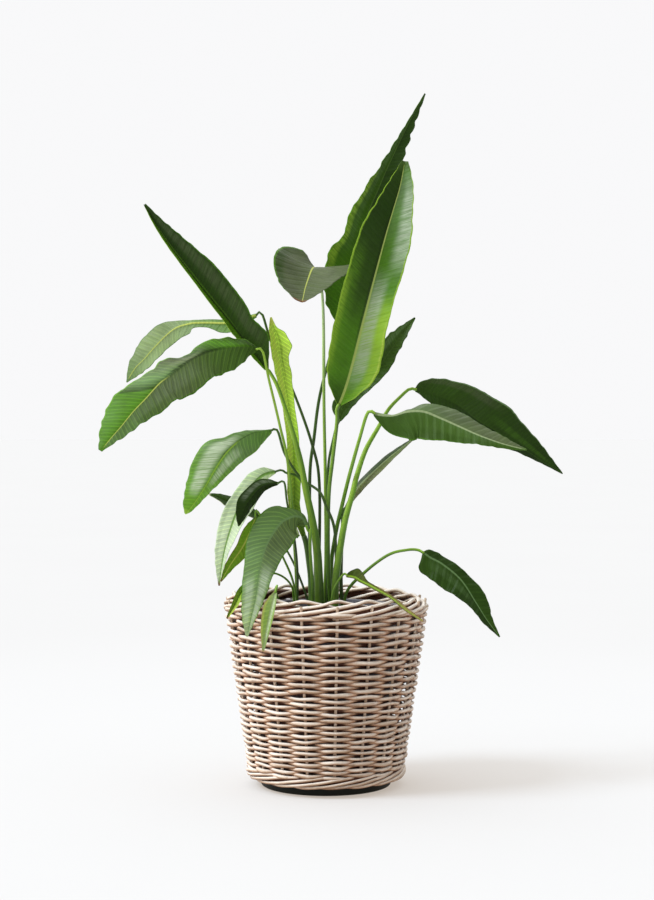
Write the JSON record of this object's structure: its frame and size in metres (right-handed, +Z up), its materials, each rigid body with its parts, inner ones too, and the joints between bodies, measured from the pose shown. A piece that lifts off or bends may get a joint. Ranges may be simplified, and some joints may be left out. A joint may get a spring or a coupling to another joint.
{
  "type": "travelers palm in basket",
  "caption": "Potted travelers palm with long stems and broad waved leaves, standing in a round woven rattan basket on a dark foot plate.",
  "frame": {"origin": "centre of the foot plate's flat underside, on the basket's axis, where it rests on the floor", "axes": "+Z up along the basket's axis, +X to the right as seen from the front, -Y towards the viewer"},
  "size_m": [0.6772, 0.302, 1.0206],
  "materials": {
    "rattan": "round washed greige rattan strands, satin, darker in the gaps",
    "plate": "near black moulded plastic, matte",
    "pot": "dark grey nursery pot plastic with a soft sheen",
    "soil": "loose dark potting mix of peat and bark",
    "leaf": "fresh green waxy leaf with fine side veins and a pale midrib",
    "leaf_dark": "deep green waxy leaf with fine side veins and a pale midrib",
    "leaf_pale": "pale grey green underside with a waxy bloom",
    "leaf_young": "young yellow green leaf, satin",
    "stem": "smooth green leaf stalk, waxy"
  },
  "bodies": {
    "root": {"basket_wall": "rattan", "basket_rim": "rattan", "basket_foot_border": "rattan", "basket_base": "rattan", "foot_plate": "plate", "nursery_pot": "pot", "soil": "soil", "blade_upper_left": "leaf_dark", "blade_left_broad": "leaf", "blade_left_back": "leaf_pale", "blade_young_rolled": "leaf_young", "blade_centre_arched": "leaf_dark", "blade_crown_back": "leaf_dark", "blade_crown_front": "leaf", "blade_right_inner": "leaf_dark", "blade_right_high": "leaf_dark", "blade_right_broad": "leaf_dark", "blade_right_narrow": "leaf_dark", "blade_left_middle": "leaf", "blade_left_pale": "leaf_pale", "blade_left_dark": "leaf_dark", "blade_front_drooping": "leaf_dark", "blade_left_low": "leaf", "blade_left_narrow": "leaf_dark", "blade_left_rim": "leaf_young", "blade_front_small": "leaf_young", "blade_right_low": "leaf_dark", "blade_right_rim": "leaf_young", "stem_upper_left": "stem", "stem_left_broad": "stem", "stem_left_back": "stem", "stem_young_rolled": "stem", "stem_centre_arched": "stem", "stem_crown_back": "stem", "stem_crown_front": "stem", "stem_right_inner": "stem", "stem_right_high": "stem", "stem_right_broad": "stem", "stem_right_narrow": "stem", "stem_left_middle": "stem", "stem_left_pale": "stem", "stem_left_dark": "stem", "stem_front_drooping": "stem", "stem_left_low": "stem", "stem_left_narrow": "stem", "stem_left_rim": "stem", "stem_front_small": "stem", "stem_right_low": "stem", "stem_right_rim": "stem"}
  },
  "joints": []
}
